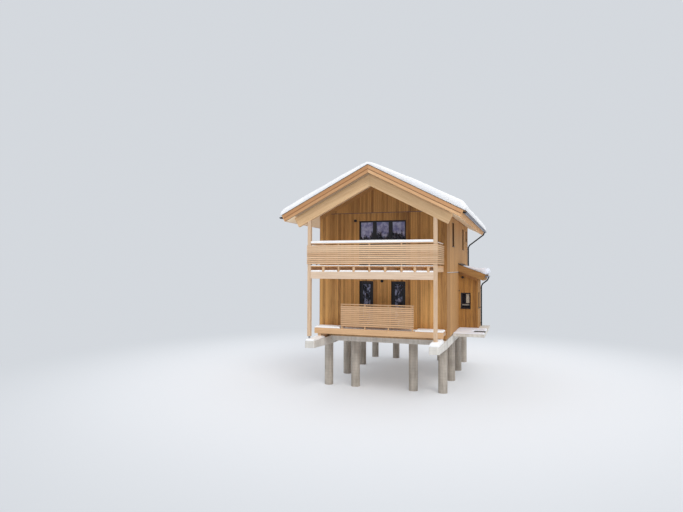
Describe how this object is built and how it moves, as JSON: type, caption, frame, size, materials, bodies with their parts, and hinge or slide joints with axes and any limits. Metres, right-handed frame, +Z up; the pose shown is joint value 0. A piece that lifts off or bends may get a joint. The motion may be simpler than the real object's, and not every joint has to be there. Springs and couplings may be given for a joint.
{
  "type": "alpine chalet",
  "caption": "Two-storey timber chalet on round concrete piers, with a gabled roof, front balcony, terrace, lean-to annex and glazed terrace doors that open.",
  "frame": {"origin": "under the middle of the whole house's plan, at the level of the pier feet", "axes": "+X to the right seen from the balcony front, +Y from the front to the back, +Z up"},
  "size_m": [9.2518, 12.76, 10.642],
  "materials": {
    "concrete": "cast concrete, matt",
    "larch_cladding": "upright larch boards, unfinished",
    "spruce": "planed spruce, unfinished",
    "larch_boards": "planed larch boards, unfinished",
    "larch_slats": "planed larch slats, unfinished",
    "floor_timber": "oiled timber floor",
    "roof_metal": "dark grey coated sheet",
    "gutter_metal": "dark grey coated sheet",
    "frame_metal": "near-black coated aluminium, satin",
    "steel": "galvanised steel",
    "window_glass": "clear insulating glass",
    "lamp_black": "black, matt",
    "snow": "settled snow, matt"
  },
  "bodies": {
    "house": {"piers": "concrete", "foundation_beams": "concrete", "foundation_cross_beams": "concrete", "annex_slab": "concrete", "foot_grate": "gutter_metal", "ground_floor": "floor_timber", "upper_floor": "floor_timber", "front_wall_base": "larch_cladding", "front_wall_left": "larch_cladding", "front_wall_middle": "larch_cladding", "front_wall_right": "larch_cladding", "front_wall_lintel": "larch_cladding", "gable_wall_front": "larch_cladding", "left_wall": "larch_cladding", "right_wall": "larch_cladding", "back_wall": "larch_cladding", "annex_end_walls": "larch_cladding", "annex_side_wall": "larch_cladding", "annex_floor": "floor_timber", "annex_roof": "spruce", "annex_roof_boards": "larch_boards", "annex_roof_sheet": "roof_metal", "flashings": "gutter_metal", "roof_left": "spruce", "roof_right": "spruce", "soffits": "spruce", "roof_sheets": "roof_metal", "verge_boards": "larch_boards", "eave_boards": "larch_boards", "frieze_boards": "larch_boards", "gable_rafters": "spruce", "posts": "spruce", "post_feet": "steel", "terrace_edge": "larch_boards", "terrace_joists": "spruce", "terrace_bearers": "spruce", "terrace_deck": "larch_boards", "terrace_panel": "larch_slats", "terrace_rail": "spruce", "balcony_beam": "spruce", "balcony_joists": "spruce", "balcony_deck": "larch_boards", "balcony_panel_front": "larch_slats", "balcony_panel_left": "larch_slats", "balcony_panel_right": "larch_slats", "balcony_rails": "spruce", "gutters": "gutter_metal", "downpipes": "gutter_metal", "window_frames": "frame_metal", "window_glass": "window_glass", "terrace_door_frames": "frame_metal", "back_door": "frame_metal", "wall_lamps": "lamp_black", "roof_snow": "snow", "annex_snow": "snow", "rail_snow": "snow"},
    "left_door": {"terrace_door_left": "frame_metal", "terrace_door_glass_left": "window_glass"},
    "right_door": {"terrace_door_right": "frame_metal", "terrace_door_glass_right": "window_glass"}
  },
  "joints": [
    {"name": "left_door_hinge", "type": "hinge", "parent": "house", "child": "left_door", "pos_m": [-1.34439, -3.813, 4.105], "axis": [0, 0, 1], "range_deg": [0, 90]},
    {"name": "right_door_hinge", "type": "hinge", "parent": "house", "child": "right_door", "pos_m": [0.80361, -3.813, 4.105], "axis": [0, 0, -1], "range_deg": [0, 90]}
  ]
}
